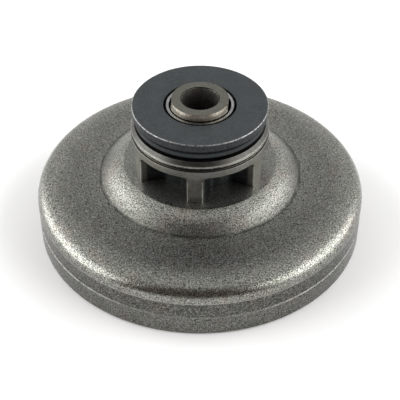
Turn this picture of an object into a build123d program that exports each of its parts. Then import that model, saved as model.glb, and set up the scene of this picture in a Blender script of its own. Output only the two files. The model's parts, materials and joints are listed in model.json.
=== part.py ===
from build123d import *
import math
import os

# Chainsaw clutch drum: a pressed steel cup with a six-tooth spur sprocket seated in its boss,
# two washers on the sprocket, and a caged needle bearing on an inner sleeve.
# Millimetres. The axis is Z, the rim stands on z = 0, the sprocket is on top,
# and one tooth points along -Y.

# Drum cup
RIM_RADIUS = 39.0
RIM_CHAMFER = 0.35
FRICTION_WALL = 2.4
WEB_THICKNESS = 2.2
WEB_SLOPE = 9.3
SHOULDER_RADIUS = 3.1
INNER_SHOULDER_RADIUS = 1.2
CREASE_RADIUS = 23.7
CREASE_HEIGHT = 14.6
CREASE_FILLET = 0.5
BOSS_HEIGHT = 18.2
BOSS_FLANK_ANGLE = 69.0
BOSS_ROUND = 5.0
BOSS_INNER_ROUND = 2.6

# Shallow turned band on the outside of the wall, just under the shoulder
BAND_WIDTH = 4.1
BAND_DEPTH = 0.12
BAND_MARGIN = 0.15

# Spur sprocket
TOOTH_COUNT = 6
TIP_RADIUS = 16.05
TIP_WIDTH = 3.4
ROOT_RADIUS = 10.8
ROOT_WIDTH = 6.0
ROOT_FILLET = 1.8
TOOTH_HEIGHT = 7.2
FLANGE_FILLET = 1.5
FLANGE_BAND = 1.6
GROOVE_WIDTH = 0.8
GROOVE_DEPTH = 0.55
BEAD_WIDTH = 0.6
BEAD_DROP = 0.1
BEAD_ROUND = 0.2
CONE_HEIGHT = 1.0
CONE_INSET = 0.75
LAND_RADIUS = 13.6
LAND_HEIGHT = 0.6
SPIGOT_WALL = 1.75
SPIGOT_STANDOUT = 0.6
SPIGOT_CHAMFER = 0.3
SEAT_CLEARANCE = 0.03

# Washers
LOWER_WASHER_RADIUS = 15.0
LOWER_WASHER_THICKNESS = 2.05
UPPER_WASHER_RADIUS = 15.6
UPPER_WASHER_THICKNESS = 2.15
WASHER_LIP = 0.3
WASHER_EDGE = 0.15

# Needle bearing and inner sleeve
SHAFT_RADIUS = 4.3
SLEEVE_RADIUS = 6.9
SLEEVE_STANDOUT = 1.45
SLEEVE_TAIL = 0.5
SLEEVE_CHAMFER = 0.3
SLEEVE_EDGE = 0.1
SHAFT_CHAMFER = 0.15
FLAT_DEPTH = 0.45
FLAT_LENGTH = 4.0
ROLLER_SPACE = 1.75
ROLLER_COUNT = 14
ROLLER_CLEARANCE = 0.05
ROLLER_END = 0.15
ROLLER_MARGIN = 1.6
CAGE_GAP = 0.25
CAGE_THICKNESS = 0.6
CAGE_DROP = 0.2
CAGE_TAIL = 0.1
POCKET_CLEARANCE = 0.1

# Heights that follow from the stack, from the boss upwards
FLANGE_UNDERSIDE = BOSS_HEIGHT + TOOTH_HEIGHT
GROOVE_FLOOR = FLANGE_UNDERSIDE + FLANGE_BAND
BEAD_FLOOR = GROOVE_FLOOR + GROOVE_WIDTH
CONE_FLOOR = BEAD_FLOOR + BEAD_WIDTH
FLANGE_TOP = CONE_FLOOR + CONE_HEIGHT
LAND_TOP = FLANGE_TOP + LAND_HEIGHT
WASHER_JOINT = LAND_TOP + LOWER_WASHER_THICKNESS
STACK_TOP = WASHER_JOINT + UPPER_WASHER_THICKNESS
SPIGOT_END = BOSS_HEIGHT - WEB_THICKNESS - SPIGOT_STANDOUT

# Radii that follow from the bearing, from the shaft outwards
BEARING_BORE = SLEEVE_RADIUS + ROLLER_SPACE
PITCH_RADIUS = SLEEVE_RADIUS + ROLLER_SPACE / 2
ROLLER_RADIUS = ROLLER_SPACE / 2 - ROLLER_CLEARANCE
ROLLER_FLOOR = SPIGOT_END + ROLLER_MARGIN
ROLLER_TOP = LAND_TOP - ROLLER_MARGIN / 2
SPIGOT_RADIUS = BEARING_BORE + SPIGOT_WALL
WASHER_BORE = BEARING_BORE - WASHER_LIP
CAGE_INSIDE = SLEEVE_RADIUS + CAGE_GAP

SQUARE_CORNER = math.radians(90)
ROUND_SHARE = 0.98


def profile(points, rounds=()):
    """Closed radius-height outline, with the corners named in rounds rounded off."""
    face = make_face(Polyline(*points, close=True))
    for corner, radius in rounds:
        nearest = face.vertices().sort_by_distance(Vector(*corner))[0]
        face = fillet(nearest, radius)
    return face


def turned(points, rounds=()):
    """Solid of revolution about Z from a radius-height outline."""
    return revolve(Plane.XZ * profile(points, rounds), Axis.Z)


def tube(inner, outer, low, high):
    """Plain round tube between two heights."""
    return turned([(inner, low), (outer, low), (outer, high), (inner, high)])


def circles_at(solid, radius, height):
    """Round edges of one radius at one height."""
    edges = solid.edges().filter_by(GeomType.CIRCLE)
    return edges.filter_by(
        lambda edge: math.isclose(edge.radius, radius, abs_tol=1e-4)
        and math.isclose(edge.center().Z, height, abs_tol=1e-4)
    )


def limited_round(radius, run, turn):
    """Radius of a rounded corner, smaller where its straight run is too short for it."""
    return min(radius, ROUND_SHARE * run / math.tan(turn / 2))


def inset_corner(before, corner, after, wall_before, wall_after):
    """Inside corner that lies one wall behind the outline before it and one behind the next."""
    ahead = (Vector(*corner) - Vector(*before)).normalized()
    beyond = (Vector(*after) - Vector(*corner)).normalized()
    first = Vector(-ahead.Y, ahead.X)
    second = Vector(-beyond.Y, beyond.X)
    spread = first.X * second.Y - first.Y * second.X
    shift_r = (wall_before * second.Y - wall_after * first.Y) / spread
    shift_z = (wall_after * first.X - wall_before * second.X) / spread
    return corner[0] + shift_r, corner[1] + shift_z


def make_clutch_drum():
    """Pressed cup: wall, rounded shoulder, coned web and domed boss of one sheet."""
    slope = math.radians(WEB_SLOPE)
    flank = math.radians(BOSS_FLANK_ANGLE)
    hole = SPIGOT_RADIUS + SEAT_CLEARANCE
    rim = (RIM_RADIUS, 0)
    shoulder = (RIM_RADIUS, CREASE_HEIGHT - (RIM_RADIUS - CREASE_RADIUS) * math.tan(slope))
    crease = (CREASE_RADIUS, CREASE_HEIGHT)
    boss = (CREASE_RADIUS - (BOSS_HEIGHT - CREASE_HEIGHT) / math.tan(flank), BOSS_HEIGHT)
    mouth = (hole, BOSS_HEIGHT)

    inner_shoulder = inset_corner(rim, shoulder, crease, FRICTION_WALL, WEB_THICKNESS)
    inner_crease = inset_corner(shoulder, crease, boss, WEB_THICKNESS, WEB_THICKNESS)
    inner_boss = inset_corner(crease, boss, mouth, WEB_THICKNESS, WEB_THICKNESS)
    inner_mouth = (hole, BOSS_HEIGHT - WEB_THICKNESS)
    inner_rim = (RIM_RADIUS - FRICTION_WALL, 0)

    crease_turn = flank - slope
    crease_share = math.tan(crease_turn / 2)
    run = math.dist(crease, boss)
    crease_round = limited_round(CREASE_FILLET, run / 2, crease_turn)
    boss_round = limited_round(BOSS_ROUND, run - crease_round * crease_share, flank)
    inner_run = math.dist(inner_crease, inner_boss)
    inner_crease_round = limited_round(CREASE_FILLET + WEB_THICKNESS, inner_run / 2, crease_turn)
    inner_boss_round = limited_round(BOSS_INNER_ROUND, inner_run - inner_crease_round * crease_share, flank)

    outside = [rim, shoulder, crease, boss, mouth]
    inside = [inner_mouth, inner_boss, inner_crease, inner_shoulder, inner_rim]
    rounds = [
        (shoulder, SHOULDER_RADIUS),
        (crease, crease_round),
        (boss, boss_round),
        (inner_boss, inner_boss_round),
        (inner_crease, inner_crease_round),
        (inner_shoulder, INNER_SHOULDER_RADIUS),
    ]
    drum = turned(outside + inside, rounds)

    wall_top = shoulder[1] - SHOULDER_RADIUS * math.tan((SQUARE_CORNER - slope) / 2)
    band_top = wall_top - BAND_MARGIN
    drum -= tube(RIM_RADIUS - BAND_DEPTH, RIM_RADIUS + BAND_WIDTH, band_top - BAND_WIDTH, band_top)
    rim_edges = circles_at(drum, RIM_RADIUS, 0) + circles_at(drum, inner_rim[0], 0)
    return chamfer(rim_edges, RIM_CHAMFER)


def make_tooth_gap():
    """Room between two teeth on +X: drafted flanks, rounded root, rounded under the flange."""
    reach = TIP_RADIUS + TIP_WIDTH
    half_root = ROOT_WIDTH / 2
    half_tip = TIP_WIDTH / 2
    root_x = math.sqrt(ROOT_RADIUS**2 - half_root**2)
    tip_x = math.sqrt(TIP_RADIUS**2 - half_tip**2)
    draft = (half_root - half_tip) / (tip_x - root_x)
    half_reach = half_tip - draft * (reach - tip_x)
    inside = half_root + draft * root_x
    tooth = make_face(
        Polyline((0, -inside), (reach, -half_reach), (reach, half_reach), (0, inside), close=True)
    )
    half_pitch = 180 / TOOTH_COUNT
    edge = reach * math.tan(math.radians(half_pitch))
    sector = make_face(Polyline((0, 0), (reach, -edge), (reach, edge), close=True))
    gap = sector - Circle(ROOT_RADIUS) - Rot(0, 0, half_pitch) * tooth - Rot(0, 0, -half_pitch) * tooth

    cutter = extrude(gap, TOOTH_HEIGHT)
    root_edges = cutter.edges().filter_by(Axis.Z).sort_by(lambda e: e.center().X)[:2]
    cutter = fillet(root_edges, ROOT_FILLET)
    top = cutter.faces().sort_by(Axis.Z)[-1]
    top_edges = top.edges().sort_by(lambda e: e.center().X)[:-1]
    cutter = fillet(top_edges, FLANGE_FILLET)
    return Pos(0, 0, BOSS_HEIGHT) * cutter


def make_spur_sprocket():
    """Turned sprocket: spigot, toothed length, grooved flange with bead, and washer land."""
    bead = TIP_RADIUS - BEAD_DROP
    cone = bead - CONE_INSET
    groove = TIP_RADIUS - GROOVE_DEPTH
    outline = [
        (BEARING_BORE, SPIGOT_END),
        (SPIGOT_RADIUS, SPIGOT_END),
        (SPIGOT_RADIUS, BOSS_HEIGHT),
        (TIP_RADIUS, BOSS_HEIGHT),
        (TIP_RADIUS, GROOVE_FLOOR),
        (groove, GROOVE_FLOOR),
        (groove, BEAD_FLOOR),
        (bead, BEAD_FLOOR),
        (bead, CONE_FLOOR),
        (cone, FLANGE_TOP),
        (LAND_RADIUS, FLANGE_TOP),
        (LAND_RADIUS, LAND_TOP),
        (BEARING_BORE, LAND_TOP),
    ]
    rounds = [((bead, BEAD_FLOOR), BEAD_ROUND), ((bead, CONE_FLOOR), BEAD_ROUND)]
    sprocket = turned(outline, rounds)
    gap = make_tooth_gap()
    for index in range(TOOTH_COUNT):
        sprocket -= Rot(0, 0, index * 360 / TOOTH_COUNT) * gap
    return chamfer(circles_at(sprocket, SPIGOT_RADIUS, SPIGOT_END), SPIGOT_CHAMFER)


def make_washer(radius, low, thickness):
    """Flat washer with its outer edges broken."""
    washer = tube(WASHER_BORE, radius, low, low + thickness)
    edges = circles_at(washer, radius, low) + circles_at(washer, radius, low + thickness)
    return chamfer(edges, WASHER_EDGE)


def make_inner_sleeve():
    """Inner race of the bearing, with two flats where it stands out of the washers."""
    low = SPIGOT_END - SLEEVE_TAIL
    high = STACK_TOP + SLEEVE_STANDOUT
    outline = [
        (SHAFT_RADIUS, low + SHAFT_CHAMFER),
        (SHAFT_RADIUS + SHAFT_CHAMFER, low),
        (SLEEVE_RADIUS - SLEEVE_CHAMFER, low),
        (SLEEVE_RADIUS, low + SLEEVE_CHAMFER),
        (SLEEVE_RADIUS, high - SLEEVE_EDGE),
        (SLEEVE_RADIUS - SLEEVE_EDGE, high),
        (SHAFT_RADIUS + SHAFT_CHAMFER, high),
        (SHAFT_RADIUS, high - SHAFT_CHAMFER),
    ]
    sleeve = turned(outline)
    cutter = Box(SLEEVE_RADIUS, 2 * SLEEVE_RADIUS, 2 * FLAT_LENGTH)
    for side in (-1, 1):
        middle = side * (1.5 * SLEEVE_RADIUS - FLAT_DEPTH)
        sleeve -= Pos(middle, 0, high) * cutter
    return sleeve


def make_bearing_cage():
    """Thin tube close round the sleeve, with one pocket for each roller."""
    cage = tube(CAGE_INSIDE, CAGE_INSIDE + CAGE_THICKNESS, SPIGOT_END + CAGE_TAIL, STACK_TOP - CAGE_DROP)
    pocket_length = ROLLER_TOP - ROLLER_FLOOR + 2 * POCKET_CLEARANCE
    pocket_width = 2 * (ROLLER_RADIUS + POCKET_CLEARANCE)
    pocket = Box(ROLLER_SPACE, pocket_width, pocket_length)
    pocket = Pos(PITCH_RADIUS, 0, (ROLLER_FLOOR + ROLLER_TOP) / 2) * pocket
    for index in range(ROLLER_COUNT):
        cage -= Rot(0, 0, index * 360 / ROLLER_COUNT) * pocket
    return cage


def make_needle_roller(index):
    """One roller in its pocket, with broken end edges."""
    length = ROLLER_TOP - ROLLER_FLOOR
    roller = Cylinder(ROLLER_RADIUS, length, align=(Align.CENTER, Align.CENTER, Align.MIN))
    roller = chamfer(roller.edges().filter_by(GeomType.CIRCLE), ROLLER_END)
    return Rot(0, 0, index * 360 / ROLLER_COUNT) * Pos(PITCH_RADIUS, 0, ROLLER_FLOOR) * roller


def make_pieces():
    """Every piece of the drum by name, each where it sits in the whole."""
    pieces = {
        "clutch_drum": make_clutch_drum(),
        "spur_sprocket": make_spur_sprocket(),
        "lower_washer": make_washer(LOWER_WASHER_RADIUS, LAND_TOP, LOWER_WASHER_THICKNESS),
        "upper_washer": make_washer(UPPER_WASHER_RADIUS, WASHER_JOINT, UPPER_WASHER_THICKNESS),
        "inner_sleeve": make_inner_sleeve(),
        "bearing_cage": make_bearing_cage(),
    }
    for index in range(ROLLER_COUNT):
        pieces[f"needle_roller_{index + 1:02d}"] = make_needle_roller(index)
    return pieces


os.makedirs("parts", exist_ok=True)
for name, piece in make_pieces().items():
    export_step(piece, f"parts/{name}.step")
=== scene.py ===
import json
import logging
import math
from dataclasses import dataclass
from enum import Enum
from typing import Sequence

import bmesh
import bpy
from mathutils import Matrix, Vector, noise


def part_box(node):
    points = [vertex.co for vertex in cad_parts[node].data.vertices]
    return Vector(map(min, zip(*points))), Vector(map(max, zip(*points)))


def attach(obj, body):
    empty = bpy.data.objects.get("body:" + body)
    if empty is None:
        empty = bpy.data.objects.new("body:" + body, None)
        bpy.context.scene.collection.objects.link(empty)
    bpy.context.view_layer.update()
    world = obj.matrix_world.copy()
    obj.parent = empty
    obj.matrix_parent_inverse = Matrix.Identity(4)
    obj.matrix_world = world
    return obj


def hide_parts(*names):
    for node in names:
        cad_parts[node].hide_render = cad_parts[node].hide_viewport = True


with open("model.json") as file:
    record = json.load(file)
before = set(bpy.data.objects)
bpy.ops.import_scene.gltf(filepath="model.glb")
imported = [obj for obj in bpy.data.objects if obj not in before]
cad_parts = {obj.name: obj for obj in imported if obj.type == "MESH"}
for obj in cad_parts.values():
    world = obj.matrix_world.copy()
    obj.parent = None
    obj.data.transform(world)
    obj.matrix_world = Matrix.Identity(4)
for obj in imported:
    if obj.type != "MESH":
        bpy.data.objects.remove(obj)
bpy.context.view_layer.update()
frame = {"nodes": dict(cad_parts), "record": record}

LOG = logging.getLogger("clutch_drum")
MM = 0.001
Point = tuple[float, float]
Corner = tuple[float, float, float]
Direction = tuple[float, float, float]
Colour = tuple[float, float, float]
Socket = bpy.types.NodeSocket
Value = Socket | float
Tint = Socket | Colour

# An arc has one step for each such turn, and never fewer than the least
ROUND_TURN = math.radians(9.0)
LEAST_STEPS = 3
# Edges that turn more than this stay hard
SHARP_TURN = math.radians(32.0)
# Points nearer to each other than this, in metres, become one
WELD_GAP = 1e-7
# share * (1 - share) ** 2 is 4 / 27 at its highest, a third of the way along
CROWN_SCALE = 27 / 4
# Places of the colour sockets on a Mix node, which has several sockets of each name
MIX_FIRST = 6
MIX_SECOND = 7
MIX_RESULT = 2
# Factors that drop the height, and that draw marks out along it
FLATTENED: Direction = (1.0, 1.0, 0.0)
DRAWN_OUT: Direction = (1.0, 1.0, 0.04)


class Blend(Enum):
    """Ways in which numbers are joined or reshaped inside a finish."""

    ADD = "ADD"
    SUBTRACT = "SUBTRACT"
    TIMES = "MULTIPLY"
    MOST = "MAXIMUM"
    SIZE = "ABSOLUTE"
    BEARING = "ARCTAN2"
    FOLD = "PINGPONG"


class Lay(Enum):
    """Direction of the fine marks that a process leaves on steel."""

    RANDOM = "random"
    ROUND = "round"
    AXIAL = "axial"


@dataclass(frozen=True)
class Span:
    """Smooth step from a start to an end while a value goes from low to high."""

    low: float
    high: float
    start: float = 0.0
    end: float = 1.0


@dataclass(frozen=True)
class Grain:
    """Random marks on a surface: how many to the metre, levels of finer ones, and their direction."""

    scale: float
    detail: float = 2.0
    lay: Lay = Lay.RANDOM


@dataclass(frozen=True)
class Mottle:
    """Grain whose middle range is stretched to a smooth step."""

    grain: Grain
    span: Span


@dataclass(frozen=True)
class Relief:
    """Depth of a surface relief, in metres, and how much of it shows."""

    depth: float
    strength: float


def turn_point(point: Point, angle: float, centre: Point = (0.0, 0.0)) -> Point:
    """Offset turned by an angle and set down at a centre."""
    cos, sin = math.cos(angle), math.sin(angle)
    return centre[0] + point[0] * cos - point[1] * sin, centre[1] + point[0] * sin + point[1] * cos


def rounded(corners: Sequence[Corner], closed: bool = True) -> list[Point]:
    """Turn an outline with a rounding at each corner into plain points.

    Args:
        corners: radius, height and rounding of each corner, in millimetres.
        closed: whether the last corner joins the first.

    Returns:
        The points of the outline, with each rounding as a fine arc.
    """
    count = len(corners)
    points: list[Point] = []
    for index, (x, y, size) in enumerate(corners):
        inner = closed or 0 < index < count - 1
        if size <= 0 or not inner:
            points.append((x, y))
            continue
        here = Vector((x, y))
        back = (Vector(corners[index - 1][:2]) - here).normalized()
        ahead = (Vector(corners[(index + 1) % count][:2]) - here).normalized()
        half = math.acos(max(-1.0, min(1.0, back.dot(ahead)))) / 2
        run = size / math.tan(half)
        centre = here + (back + ahead).normalized() * (size / math.sin(half))
        start = here + back * run - centre
        end = here + ahead * run - centre
        turn = math.atan2(start.x * end.y - start.y * end.x, start.dot(end))
        steps = max(LEAST_STEPS, math.ceil(abs(turn) / ROUND_TURN))
        for step in range(steps + 1):
            angle = turn * step / steps
            points.append(turn_point(start.to_tuple(), angle, centre.to_tuple()))
    return points


def even_angles(count: int) -> list[float]:
    """Angles of evenly spaced stations round the axis."""
    return [2 * math.pi * index / count for index in range(count)]


def ring(radius: float, height: float, angles: Sequence[float]) -> list[Vector]:
    """Circle of points about the axis, from millimetres to metres."""
    return [Vector((radius * math.cos(a), radius * math.sin(a), height)) * MM for a in angles]


def shade(mesh: bpy.types.Mesh, shape: bmesh.types.BMesh) -> None:
    """Weld a shape, turn its faces outwards, keep its hard edges and store it in a mesh.

    Args:
        mesh: mesh that receives the shape.
        shape: shape to finish; it is freed.
    """
    bmesh.ops.remove_doubles(shape, verts=shape.verts, dist=WELD_GAP)
    bmesh.ops.dissolve_degenerate(shape, edges=shape.edges, dist=WELD_GAP)
    bmesh.ops.recalc_face_normals(shape, faces=shape.faces)
    for face in shape.faces:
        face.smooth = True
    for edge in shape.edges:
        edge.smooth = edge.calc_face_angle(0.0) < SHARP_TURN
    shape.to_mesh(mesh)
    shape.free()


def add_piece(name: str, shape: bmesh.types.BMesh) -> bpy.types.Object:
    """Put a shape into the scene as a new piece.

    Args:
        name: name of the new piece.
        shape: shape of the piece; it is freed.

    Returns:
        The new object, linked to the scene.
    """
    mesh = bpy.data.meshes.new(name)
    shade(mesh, shape)
    piece = bpy.data.objects.new(name, mesh)
    bpy.context.scene.collection.objects.link(piece)
    return piece


def skin(name: str, rings: Sequence[Sequence[Vector]], closed: bool = True) -> bpy.types.Object:
    """Cover a stack of rings with faces.

    Args:
        name: name of the new piece.
        rings: rings with the same number of points each.
        closed: whether the last ring joins the first; otherwise each end gets a cap.

    Returns:
        The new object, linked to the scene.
    """
    shape = bmesh.new()
    rows = [[shape.verts.new(point) for point in points] for points in rings]
    pairs = list(zip(rows, rows[1:]))
    if closed:
        pairs.append((rows[-1], rows[0]))
    else:
        shape.faces.new(rows[0])
        shape.faces.new(rows[-1])
    for lower, upper in pairs:
        for index in range(len(lower)):
            after = (index + 1) % len(lower)
            shape.faces.new((lower[index], lower[after], upper[after], upper[index]))
    return add_piece(name, shape)


def turned(name: str, outline: Sequence[Point], segments: int) -> bpy.types.Object:
    """Closed ring-shaped piece from a radius-height outline."""
    angles = even_angles(segments)
    return skin(name, [ring(radius, height, angles) for radius, height in outline])


def dress(piece: bpy.types.Object, node: str, body: str, material: bpy.types.Material) -> None:
    """Put a finished piece in the place of a solid.

    Args:
        piece: the new piece.
        node: solid that it stands for.
        body: body that it moves with.
        material: finish of its surface.
    """
    piece.data.materials.append(material)
    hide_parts(node)
    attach(piece, body)
    LOG.info("%s: %d faces on body %s", piece.name, len(piece.data.polygons), body)


def reach(node: str) -> tuple[float, float, float]:
    """Outer radius, lowest and highest point of a solid about the axis, in millimetres."""
    low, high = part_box(node)
    return high[0] / MM, low[2] / MM, high[2] / MM


def bore_radius(mount: str) -> float:
    """Radius of a round mount of the record, in millimetres."""
    return next(m["dims"]["r_mm"] for m in frame["record"]["mounts"] if m["name"] == mount)


class NodeBoard:
    """Node tree with short ways to add what the finishes and the room share."""

    def __init__(self, tree: bpy.types.NodeTree) -> None:
        """Start from an empty tree."""
        self.tree = tree
        self.tree.nodes.clear()

    def feed(self, socket: Socket, value: Value | Tint) -> None:
        """Link a value to a socket, or set it there if it is a plain number or colour.

        Args:
            socket: input that receives the value.
            value: output of another node, number or colour.
        """
        if isinstance(value, Socket):
            self.tree.links.new(value, socket)
        elif isinstance(value, tuple) and socket.type == "RGBA":
            socket.default_value = (*value, 1.0)
        else:
            socket.default_value = value

    def ramp(self, value: Value, span: Span) -> Socket:
        """Smooth step of a value.

        Args:
            value: number to follow.
            span: where the step lies, in the value's own unit, and what it goes between.

        Returns:
            A number socket.
        """
        node = self.tree.nodes.new("ShaderNodeMapRange")
        node.interpolation_type = "SMOOTHSTEP"
        self.feed(node.inputs["Value"], value)
        limits = {"From Min": span.low, "From Max": span.high, "To Min": span.start, "To Max": span.end}
        for socket, number in limits.items():
            node.inputs[socket].default_value = number
        return node.outputs["Result"]

    def mix(self, share: Value, first: Tint, second: Tint) -> Socket:
        """Colour between two colours.

        Args:
            share: share of the second colour, from 0 to 1.
            first: colour at 0.
            second: colour at 1.

        Returns:
            A colour socket.
        """
        node = self.tree.nodes.new("ShaderNodeMix")
        node.data_type = "RGBA"
        self.feed(node.inputs["Factor"], share)
        self.feed(node.inputs[MIX_FIRST], first)
        self.feed(node.inputs[MIX_SECOND], second)
        return node.outputs[MIX_RESULT]


class Canvas(NodeBoard):
    """Node tree of one material, with short ways to add what the finishes share."""

    def __init__(self, name: str) -> None:
        """Start a material that holds a shader and its output.

        Args:
            name: name of the material.
        """
        self.material = bpy.data.materials.new(name)
        self.material.use_nodes = True
        super().__init__(self.material.node_tree)
        self.shader = self.tree.nodes.new("ShaderNodeBsdfPrincipled")
        output = self.tree.nodes.new("ShaderNodeOutputMaterial")
        self.tree.links.new(self.shader.outputs["BSDF"], output.inputs["Surface"])
        self.place = self.tree.nodes.new("ShaderNodeTexCoord").outputs["Object"]

    def maths(self, how: Blend, first: Value, second: Value = 0.0) -> Socket:
        """Join two numbers, or reshape the first.

        Args:
            how: what is done with the numbers.
            first: first number.
            second: second number, where there is one.

        Returns:
            A number socket.
        """
        node = self.tree.nodes.new("ShaderNodeMath")
        node.operation = how.value
        self.feed(node.inputs[0], first)
        self.feed(node.inputs[1], second)
        return node.outputs[0]

    def times(self, first: Value, second: Value) -> Socket:
        """Product of two numbers."""
        return self.maths(Blend.TIMES, first, second)

    def plus(self, first: Value, second: Value) -> Socket:
        """Sum of two numbers."""
        return self.maths(Blend.ADD, first, second)

    def scaled(self, factors: Direction) -> Socket:
        """Place on the surface, multiplied along each axis.

        Args:
            factors: factor of each axis.

        Returns:
            A vector socket.
        """
        node = self.tree.nodes.new("ShaderNodeVectorMath")
        node.operation = "MULTIPLY"
        self.feed(node.inputs[0], self.place)
        node.inputs[1].default_value = factors
        return node.outputs[0]

    def radius(self) -> Socket:
        """Distance from the axis.

        Returns:
            A number socket, in metres.
        """
        node = self.tree.nodes.new("ShaderNodeVectorMath")
        node.operation = "LENGTH"
        self.feed(node.inputs[0], self.scaled(FLATTENED))
        return node.outputs["Value"]

    def height(self) -> Socket:
        """Height above the floor.

        Returns:
            A number socket, in metres.
        """
        node = self.tree.nodes.new("ShaderNodeSeparateXYZ")
        self.feed(node.inputs[0], self.place)
        return node.outputs["Z"]

    def sector_angle(self, sectors: int) -> Socket:
        """Angle from the nearest of several evenly spaced half-planes, the first along x.

        Args:
            sectors: number of half-planes.

        Returns:
            A number socket, in radians.
        """
        node = self.tree.nodes.new("ShaderNodeSeparateXYZ")
        self.feed(node.inputs[0], self.place)
        around = self.maths(Blend.BEARING, node.outputs["Y"], node.outputs["X"])
        return self.maths(Blend.FOLD, around, math.pi / sectors)

    def noise(self, grain: Grain) -> Socket:
        """Soft random value on the surface.

        Args:
            grain: size and direction of the marks.

        Returns:
            A number socket, mostly between 0.3 and 0.7.
        """
        node = self.tree.nodes.new("ShaderNodeTexNoise")
        node.inputs["Scale"].default_value = grain.scale
        node.inputs["Detail"].default_value = grain.detail
        if grain.lay is Lay.ROUND:
            pair = self.tree.nodes.new("ShaderNodeCombineXYZ")
            self.feed(pair.inputs["X"], self.radius())
            self.feed(pair.inputs["Y"], self.height())
            self.feed(node.inputs["Vector"], pair.outputs[0])
        elif grain.lay is Lay.AXIAL:
            self.feed(node.inputs["Vector"], self.scaled(DRAWN_OUT))
        else:
            self.feed(node.inputs["Vector"], self.place)
        return node.outputs["Fac"]

    def mottle(self, mottle: Mottle) -> Socket:
        """Random value stretched to its range."""
        return self.ramp(self.noise(mottle.grain), mottle.span)

    def fade(self, distance: Value, span: Span, datum: float = 0.0) -> Socket:
        """Smooth step along a radius or a height, whose span counts in millimetres from a datum."""
        low, high = (datum + span.low) * MM, (datum + span.high) * MM
        return self.ramp(distance, Span(low, high, span.start, span.end))

    def band(self, value: Value, centre: float, half: float, soft: float) -> Socket:
        """Mask that is 1 within half of a centre and fades out over a soft border."""
        apart = self.maths(Blend.SIZE, self.maths(Blend.SUBTRACT, value, centre))
        return self.ramp(apart, Span(half, half + soft, 1.0, 0.0))

    def within(self, mask: Value, factor: Value) -> Socket:
        """Factor where a mask is 1, and 1 where it is 0."""
        change = self.maths(Blend.SUBTRACT, factor, 1.0)
        return self.plus(self.times(mask, change), 1.0)

    def dim(self, colour: Tint, factor: Value) -> Socket:
        """Colour multiplied by a number.

        Args:
            colour: colour to change.
            factor: number that each channel is multiplied by.

        Returns:
            A colour socket.
        """
        node = self.tree.nodes.new("ShaderNodeVectorMath")
        node.operation = "SCALE"
        self.feed(node.inputs[0], colour)
        self.feed(node.inputs["Scale"], factor)
        return node.outputs[0]

    def bump(self, height: Value, relief: Relief, under: Socket | None = None) -> Socket:
        """Surface relief.

        Args:
            height: shape of the relief, from 0 to 1.
            relief: its depth and strength.
            under: relief that this one lies on.

        Returns:
            The normal socket for the shader or for the next relief.
        """
        node = self.tree.nodes.new("ShaderNodeBump")
        node.inputs["Strength"].default_value = relief.strength
        node.inputs["Distance"].default_value = relief.depth
        self.feed(node.inputs["Height"], height)
        if under is not None:
            self.feed(node.inputs["Normal"], under)
        return node.outputs["Normal"]

    def finish(
        self, colour: Tint, roughness: Value, normal: Socket, metallic: float = 1.0
    ) -> bpy.types.Material:
        """Connect the shader.

        Args:
            colour: colour of the surface.
            roughness: 0 for a mirror, 1 for chalk.
            normal: relief of the surface.
            metallic: 1 for bare metal, 0 for anything else.

        Returns:
            The finished material.
        """
        self.feed(self.shader.inputs["Base Color"], colour)
        self.shader.inputs["Metallic"].default_value = metallic
        self.feed(self.shader.inputs["Roughness"], roughness)
        self.feed(self.shader.inputs["Normal"], normal)
        return self.material


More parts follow.
